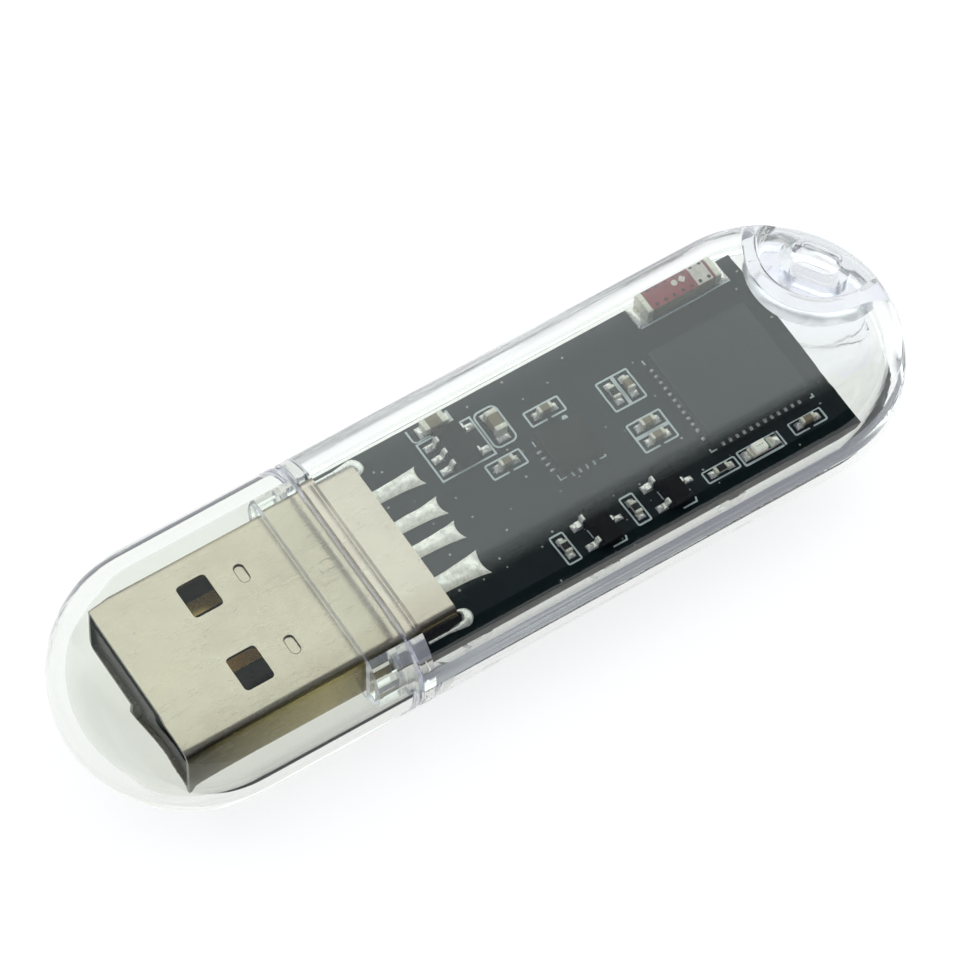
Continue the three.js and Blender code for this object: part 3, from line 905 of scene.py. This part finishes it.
def make_terminal_chip(node, kind, body_material, top=None, lowered=0.0):
    """Two-terminal chip with a terminal round each end, solder beyond them and perhaps a glazed top."""
    lo, hi = span(node)
    hi.z -= lowered
    size = hi - lo
    middle = (lo + hi) / 2
    turned = size.y > size.x
    axis = 1 if turned else 0
    length, width = size[axis], size[1 - axis]
    band = 0.24 * length
    bm = bmesh.new()
    inset = Vector((0.025, 0.025, 0.025))
    add_box(bm, lo + inset, hi - inset, 0, 0.03)
    for side in (-1, 1):
        end_lo, end_hi = lo.copy(), hi.copy()
        if side < 0:
            end_hi[axis] = lo[axis] + band
        else:
            end_lo[axis] = hi[axis] - band
        add_box(bm, end_lo, end_hi, 1, min(0.06, width * 0.12), 3)
    if top:
        top_lo = Vector((lo.x + 0.03, lo.y + 0.03, hi.z - 0.06))
        top_hi = Vector((hi.x - 0.03, hi.y - 0.03, hi.z - 0.005))
        top_lo[axis] = lo[axis] + band - 0.02 * length
        top_hi[axis] = hi[axis] - band + 0.02 * length
        add_box(bm, top_lo, top_hi, 3, 0.02)
    reach = (length / 2 - 0.12, length / 2 + 0.36)
    add_end_solder(bm, middle, reach, width * 0.54, turned, 0.24, 2)
    materials = [body_material, TERMINAL, SOLDER] + ([top] if top else [])
    make_piece(f"{node}_fine", bm, materials, kind, [node])


def make_led(node):
    """Cream resin block on a thin substrate, a green cathode mark at one end."""
    lo, hi = span(node)
    bm = bmesh.new()
    deck = lo.z + 0.22
    middle = (lo + hi) / 2
    add_box(bm, lo, (hi.x, hi.y, deck), 0, 0.03)
    add_box(bm, (lo.x + 0.22, lo.y + 0.02, deck - 0.03), (hi.x - 0.5, hi.y - 0.02, hi.z), 1, 0.08, 3)
    add_box(bm, (hi.x - 0.49, lo.y + 0.02, deck - 0.02), (hi.x - 0.3, hi.y - 0.02, deck + 0.05), 2, 0.02)
    for offset in (-0.18, 0.0, 0.18):
        x, y = middle.x - 0.14 + offset, middle.y
        add_box(bm, (x - 0.035, y - 0.05, hi.z - 0.03), (x + 0.035, y + 0.05, hi.z + 0.004), 5, 0.012, 1)
    for x in (lo.x, hi.x):
        add_box(bm, (x - 0.08, lo.y + 0.05, lo.z), (x + 0.08, hi.y - 0.05, deck + 0.03), 3, 0.04, 3)
    add_end_solder(bm, middle, (0.72, 1.3), 0.36, False, 0.3, 4)
    materials = [PRINT_PALE, CREAM, GREEN, TERMINAL, SOLDER, CERAMIC]
    make_piece(f"{node}_fine", bm, materials, "led_body", [node])


def make_antenna(node):
    """Ceramic bar printed dark red, with tinned ends, a row of dark via dots and one pale window."""
    lo, hi = span(node)
    bm = bmesh.new()
    add_box(bm, (lo.x + 0.03, lo.y + 0.03, lo.z + 0.02), (hi.x - 0.03, hi.y - 0.03, hi.z - 0.03), 0, 0.03)
    end = 0.42
    edges = (lo.x + end, hi.x - end - 1.25, hi.x - end - 0.16, hi.x - end)
    for x0, x1, index, skin in zip(edges, edges[1:], (1, 2, 1), (0.012, 0.01, 0.012)):
        add_box(bm, (x0, lo.y + 0.05, hi.z - 0.035), (x1, hi.y - 0.05, hi.z - skin), index, 0.008, 1)
    top = hi.z - 0.008
    for i in range(7):
        x = lo.x + end + 0.42 + i * 0.63
        for row in (0.26, hi.y - lo.y - 0.26):
            add_prism(bm, arc(x, lo.y + row, 0.12, 0, 345, 23), top - 0.02, top, 3)
    middle = (lo.y + hi.y) / 2 + 0.12
    add_prism(bm, arc(lo.x + 2.55, middle, 0.2, 0, 345, 23), top - 0.02, top, 2)
    add_prism(bm, arc(lo.x + 3.1, middle, 0.26, 0, 270, 3), top - 0.02, top, 2)
    for side in (-1, 1):
        x0, x1 = (lo.x, lo.x + end) if side < 0 else (hi.x - end, hi.x)
        add_box(bm, (x0, lo.y, lo.z), (x1, hi.y, hi.z), 4, 0.07, 3)
        a, b = (x0 - 0.62, x0 + 0.1) if side < 0 else (x1 - 0.1, x1 + 0.62)
        add_pillow(bm, (a, lo.y - 0.05), (b, hi.y + 0.02), 0.24, 5, 12, 4.0, 0.5)
    materials = [ANTENNA_CORE, PRINT_RED, PRINT_PALE, PRINT_DARK, TERMINAL, SOLDER]
    make_piece(f"{node}_fine", bm, materials, "antenna_ceramic", [node])


def add_laser_marks(bm, cx, cy, hz, rows, columns):
    """Rows of short faint strokes where a marking would be; they spell nothing."""
    pitch = 0.34
    for row in range(rows):
        for column in range(columns):
            roll = noise.noise(Vector((row * 3.1, column * 1.7, rows)))
            if roll < -0.25:
                continue
            x = cx + (column - (columns - 1) / 2) * pitch
            y = cy + ((rows - 1) / 2 - row) * pitch * 1.9
            half_x, half_y = (pitch * 0.3, pitch * 0.08) if roll > 0.12 else (pitch * 0.08, pitch * 0.4)
            add_box(bm, (x - half_x, y - half_y, hz - 0.01), (x + half_x, y + half_y, hz + 0.003), 2)


def make_leadless(node, side_count, length, width):
    """Flat square chip on a row of pads along each side, with a shallow pin-one dimple."""
    lo, hi = span(node)
    cx, cy, _ = (lo + hi) / 2
    half = (hi.x - lo.x) / 2
    large = half > 2
    bm = bmesh.new()
    add_box(bm, (lo.x, lo.y, lo.z + 0.02), hi, 0, 0.035)
    dot = arc(lo.x + half * 0.26, hi.y - half * 0.26, 0.16 + half * 0.04, 0, 350, 35)
    add_ribbon(bm, dot, 0.03, hi.z - 0.01, hi.z + 0.004, True)
    for turn in range(4):
        rotation = Matrix.Rotation(turn * math.pi / 2, 2)
        for i in range(side_count):
            offset = (i - (side_count - 1) / 2) * PAD_PITCH
            corners = [(half - 0.05, offset - width / 2), (half + length, offset + width / 2)]
            turned = [rotation @ Vector(c) for c in corners]
            xs = sorted(cx + p.x for p in turned)
            ys = sorted(cy + p.y for p in turned)
            add_pillow(bm, (xs[0], ys[0]), (xs[1], ys[1]), 0.1, 1, 6, 3.0, 0.3)
    add_laser_marks(bm, cx, cy - half * 0.06, hi.z, 4 if large else 2, 7 if large else 4)
    materials = [EPOXY if large else BROWN_EPOXY, PAD, LASER]
    make_piece(f"{node}_fine", bm, materials, "chip_epoxy", [node])


def lead_path(start, end, rise):
    """Side view of a gull-wing lead, from the chip's flank to the tip of its foot."""
    knee = start + 0.16
    heel = end - 0.34
    return [(start - 0.1, rise), (knee - 0.05, rise), (knee + 0.03, rise - 0.05), (heel - 0.05, 0.13),
            (heel + 0.06, 0.075), (end, 0.07)]


def add_lead(bm, cx, side, y, flank, tip, rise, z):
    path = [Vector(p) for p in lead_path(flank, tip, rise)]
    rings = []
    for i, point in enumerate(path):
        onward = path[min(i + 1, len(path) - 1)] - path[max(i - 1, 0)]
        normal = Vector((-onward.y, onward.x)).normalized() * LEAD_THICKNESS / 2
        corners = [(point + normal, -1), (point + normal, 1), (point - normal, 1), (point - normal, -1)]
        rings.append([(cx + side * p.x, y + w * LEAD_WIDTH / 2, z + max(0.004, p.y)) for p, w in corners])
    before = set(bm.faces)
    bevel(bm, list({edge for face in add_loft(bm, rings) for edge in face.edges}), 0.02, 1)
    paint_new(bm, before, 1)


def make_leaded(node, leads, body_half):
    """Moulded chip with drafted flanks on gull-wing leads, each foot in a bright fillet."""
    lo, hi = span(node)
    cx, cy, _ = (lo + hi) / 2
    base = lo.z + 0.1
    waist = base + (hi.z - base) * 0.45
    half_y = (hi.y - lo.y) / 2
    tip = (hi.x - lo.x) / 2
    bm = bmesh.new()
    levels = [(base, 0.09), (waist - 0.04, 0.0), (waist + 0.04, 0.0), (hi.z, 0.12)]
    rings = [[(x, y, z) for x, y in rounded_rectangle(cx, cy, body_half - draft, half_y - draft, 0.07, 3)]
             for z, draft in levels]
    top = add_loft(bm, rings)[-1]
    bevel(bm, list(top.edges), 0.04, 2)
    half = LEAD_WIDTH * 0.62
    for side, offset in leads:
        y = cy + offset
        add_lead(bm, cx, side, y, body_half, tip, waist - lo.z, lo.z)
        xs = sorted((cx + side * (tip - 0.42), cx + side * (tip + 0.28)))
        add_pillow(bm, (xs[0], y - half), (xs[1], y + half), 0.2, 1, 8, 2.6, 0.8)
    make_piece(f"{node}_fine", bm, [DARK_EPOXY, SOLDER], "chip_epoxy", [node])


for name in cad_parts:
    if name.endswith("_resistor"):
        make_terminal_chip(name, "resistor_black", ALUMINA, RESISTOR)
    elif "capacitor" in name:
        lowered = 0.25 if name == "input_capacitor" else 0.0
        make_terminal_chip(name, "capacitor_ceramic", CERAMIC, None, lowered)
make_led("status_led")
make_antenna("chip_antenna")
make_leadless("microcontroller", 12, 0.2, 0.2)
make_leadless("usb_serial_chip", 4, 0.3, 0.15)
FIVE_LEADS = [(-1, 0.95), (-1, 0.0), (-1, -0.95), (1, 0.95), (1, -0.95)]
THREE_LEADS = [(-1, 0.9), (-1, -0.9), (1, 0.0)]
make_leaded("voltage_regulator", FIVE_LEADS, 0.8)
make_leaded("reset_transistor", THREE_LEADS, 0.65)
make_leaded("boot_transistor", THREE_LEADS, 0.65)


# ---------- printed marks on the board ----------

INK_LOW = BOARD_TOP + 0.004
INK_HIGH = BOARD_TOP + 0.02
LINE = 0.13
HALF_GAP = 0.14


def add_ink(bm, points, width=LINE, closed=False):
    add_ribbon(bm, points, width, INK_LOW, INK_HIGH, closed)


def frame_line(bm, cx, cy, half_x, half_y, gap=False, width=LINE):
    """A rounded frame, with a gap in the middle of its near side where asked."""
    outline = rounded_rectangle(cx, cy, half_x, half_y, 0.1, 4)
    if gap:
        outline = [(cx + HALF_GAP, cy - half_y), *outline, (cx - HALF_GAP, cy - half_y)]
    add_ink(bm, outline, width, not gap)


def frame_round(bm, node, reach, half, gap=False, width=0.11):
    lo, hi = span(node)
    cx, cy, _ = (lo + hi) / 2
    halves = (half, reach) if hi.y - lo.y > hi.x - lo.x else (reach, half)
    frame_line(bm, cx, cy, *halves, gap, width)


def corner_marks(bm, node, margin, arm, corners):
    lo, hi = span(node)
    for sx, sy, ax, ay in corners:
        x = (hi.x + margin) if sx > 0 else (lo.x - margin)
        y = (hi.y + margin) if sy > 0 else (lo.y - margin)
        points = [(x - sx * arm * ax, y), (x, y), (x, y - sy * arm * ay)]
        points = [p for i, p in enumerate(points) if i == 1 or p != points[1]]
        add_ink(bm, points, 0.1)


def make_silkscreen():
    bm = bmesh.new()
    for node in ("usb_supply_capacitor", "usb_bypass_capacitor"):
        frame_round(bm, node, 1.2, 0.56, True, LINE)
    frame_round(bm, "supply_capacitor", 1.14, 0.5, True)
    for node in ("reset_base_resistor", "boot_base_resistor", "led_resistor"):
        frame_round(bm, node, 1.14, 0.45)
    led = centre("status_led")
    frame_line(bm, led.x - 0.035, led.y, 1.385, 0.58)
    add_ink(bm, [(led.x + 1.42, led.y - 0.6), (led.x + 1.42, led.y + 0.6)], 0.22)
    pair = (centre("enable_resistor") + centre("enable_capacitor")) / 2
    frame_line(bm, pair.x, pair.y, 1.1, 1.17)
    add_ink(bm, [(pair.x, pair.y - 1.1), (pair.x, pair.y + 1.1)], 0.24)
    pair = (centre("decoupling_capacitor_1") + centre("decoupling_capacitor_2")) / 2
    frame_line(bm, pair.x, pair.y, 1.17, 1.1, True)
    add_ink(bm, [(pair.x - 1.1, pair.y), (pair.x + 1.1, pair.y)], 0.26)

    chip = centre("voltage_regulator")
    x0, x1, y0, y1 = chip.x - 1.93, chip.x + 1.82, chip.y - 1.5, chip.y + 1.55
    add_ink(bm, [(x0 + 1.15, y1 - 0.25), (x0 + 1.15, y1), (x0, y1), (x0, y0),
                 (x1, y0), (x1, y1), (x1 - 0.85, y1)])
    bracket = [(x0 + 1.1, y1 + 0.17), (x0 + 0.35, y1 + 0.17)] + arc(x0 + 0.3, y1 + 0.47, 0.32, 270, 180, 5)
    add_ink(bm, bracket + [(x0 - 0.02, y1 + 1.25)])
    add_ink(bm, [(x0 + 2.8, y1 + 0.3), (x0 + 2.8, y1 + 1.25)], LINE + 0.05)
    bulk = centre("output_capacitor")
    add_ink(bm, rounded_rectangle(bulk.x, bulk.y, 0.77, 1.42, 0.4, 5), LINE, True)

    dot = centre("usb_serial_chip")
    add_prism(bm, arc(dot.x + 1.0, dot.y + 2.0, 0.2, 0, 345, 23), INK_LOW, INK_HIGH)
    corner_marks(bm, "usb_serial_chip", 0.1, 0.42, [(-1, -1, 1, 1), (1, -1, 1, 0.3), (-1, 1, 0, 1)])
    corner_marks(bm, "microcontroller", 0.2, 0.4,
                 [(-1, -1, 1, 0.5), (1, -1, 0.6, 0.5), (-1, 1, 0, 1), (1, 1, 1, 0.5)])
    lo, hi = span("chip_antenna")
    add_ink(bm, [(lo.x - 0.5, lo.y - 0.1), (hi.x + 0.62, lo.y - 0.1)], 0.12)
    for node in ("reset_transistor", "boot_transistor"):
        t = centre(node)
        add_ink(bm, [(t.x - 0.76, t.y + 0.35), (t.x - 0.76, t.y - 0.45)], 0.08)
        add_ink(bm, [(t.x - 0.1, t.y - 1.56), (t.x + 0.85, t.y - 1.56), (t.x + 0.95, t.y - 1.3)], 0.1)
    make_piece("silkscreen", bm, [SILK])


make_silkscreen()


# ---------- stage ----------

def mirrored_inside(tree):
    """1 for light seen off the inner skin of the case's near wall, else 0; there the floor shows as a painted
    dark reflection.
    """
    path = add_node(tree, "ShaderNodeLightPath").outputs
    place_on = axes(tree, add_node(tree, "ShaderNodeNewGeometry").outputs["Position"])
    mirrored = work(tree, "GREATER_THAN", path["Glossy Depth"], 0.5)
    crossed = work(tree, "COMPARE", path["Transmission Depth"], 2.0)
    before = work(tree, "LESS_THAN", place_on["Y"], 0.1 * MM - CASE_HALF_WIDTH * MM)
    return work(tree, "MULTIPLY", work(tree, "MULTIPLY", mirrored, crossed), before)


def make_floor():
    bm = bmesh.new()
    add_box(bm, (-1500, -1500, -20), (1500, 1500, -0.001))
    material, tree, shader = new_material("studio_floor", Roughness=0.9, Specular_IOR_Level=0.1,
                                          Emission_Color=(1, 1, 1), Emission_Strength=0.82)
    tone = ramp(tree, noise_texture(tree, 0.01, 2.0), [(0.3, (0.4, 0.4, 0.4)), (0.7, (0.42, 0.42, 0.42))])
    feed(shader, Base_Color=tone)
    # Painted dark reflection: near black where the floor is seen mirrored in the inner skin of the case's
    # near wall.
    dark = add_node(tree, "ShaderNodeBsdfDiffuse", Color=(0.02, 0.022, 0.025))
    mix_surface(tree, mirrored_inside(tree), shader, dark)
    make_piece("floor", bm, [material], ride=False)


def make_world():
    """A softbox over the far half of the sky, a black card before the object, lilac light elsewhere.

    Light that reaches the sky through the clear plastic meets lilac instead of the
    card, so only the outer gloss of the case shows the card.
    """
    world = bpy.data.worlds.new("studio")
    bpy.context.scene.world = world
    world.use_nodes = True
    tree = world.node_tree
    coords = add_node(tree, "ShaderNodeTexCoord")

    def toward(direction):
        node = add_node(tree, "ShaderNodeVectorMath", {"operation": "DOT_PRODUCT"})
        node.inputs[1].default_value = direction
        tree.links.new(coords.outputs["Generated"], node.inputs[0])
        return node.outputs["Value"]

    black = (0.006, 0.008, 0.01)
    ahead_on = toward((0.537, 0.843, 0.0))
    softbox = ramp(tree, spread(tree, ahead_on, 0, 1, -0.4, 0.52),
                   [(0.0, black), (0.34, black), (0.35, (0.5, 0.56, 0.56)), (0.36, black), (0.4, black),
                    (0.415, (0.4, 0.44, 0.44)), (0.43, black), (0.53, (0.03, 0.035, 0.04)),
                    (0.7, (0.6, 0.66, 0.67)), (0.84, (1.4, 1.52, 1.52))])
    off_card = spread(tree, work(tree, "ABSOLUTE", toward((0.97, 0.25, 0.0))), 0, 1, 0.45, 0.65)
    near_half = spread(tree, ahead_on, 1, 0, -0.1, 0.1)
    sky = blend(tree, work(tree, "MULTIPLY", off_card, near_half), softbox, (0.5, 0.52, 0.66))
    low = spread(tree, toward((0, 0, 1)), 1.0, 0.0, 0.2, 0.5)
    far_low = work(tree, "MULTIPLY", low, spread(tree, ahead_on, 0, 1, 0.0, 0.3))
    sky = blend(tree, far_low, sky, (1.1, 1.13, 1.2))
    path = add_node(tree, "ShaderNodeLightPath").outputs
    inside = work(tree, "GREATER_THAN", path["Transmission Depth"], 0.5)
    filled = blend(tree, inside, sky, (0.2, 0.21, 0.25), "LIGHTEN")
    feed(tree.nodes["Background"], Color=filled, Strength=1.0)


def make_camera():
    scene = bpy.context.scene
    camera = bpy.data.objects.new("camera", bpy.data.cameras.new("camera"))
    scene.collection.objects.link(camera)
    azimuth, elevation = math.radians(-32.474), math.radians(58.489)
    camera.location = Vector((-90.117, -141.254, 281.1)) * MM
    level = math.cos(elevation)
    back = Vector((math.sin(azimuth) * level, -math.cos(azimuth) * level, math.sin(elevation)))
    camera.rotation_mode = "QUATERNION"
    camera.rotation_quaternion = (-back).to_track_quat("-Z", "Y")
    camera.data.lens = 201.14
    camera.data.sensor_width = 36
    camera.data.clip_start = 0.01
    camera.data.clip_end = 20
    scene.camera = camera


make_floor()
make_world()
make_camera()

scene = bpy.context.scene
scene.view_settings.view_transform = "Standard"
scene.cycles.max_bounces = 32
scene.cycles.transmission_bounces = 32
scene.cycles.transparent_max_bounces = 32
scene.cycles.glossy_bounces = 32
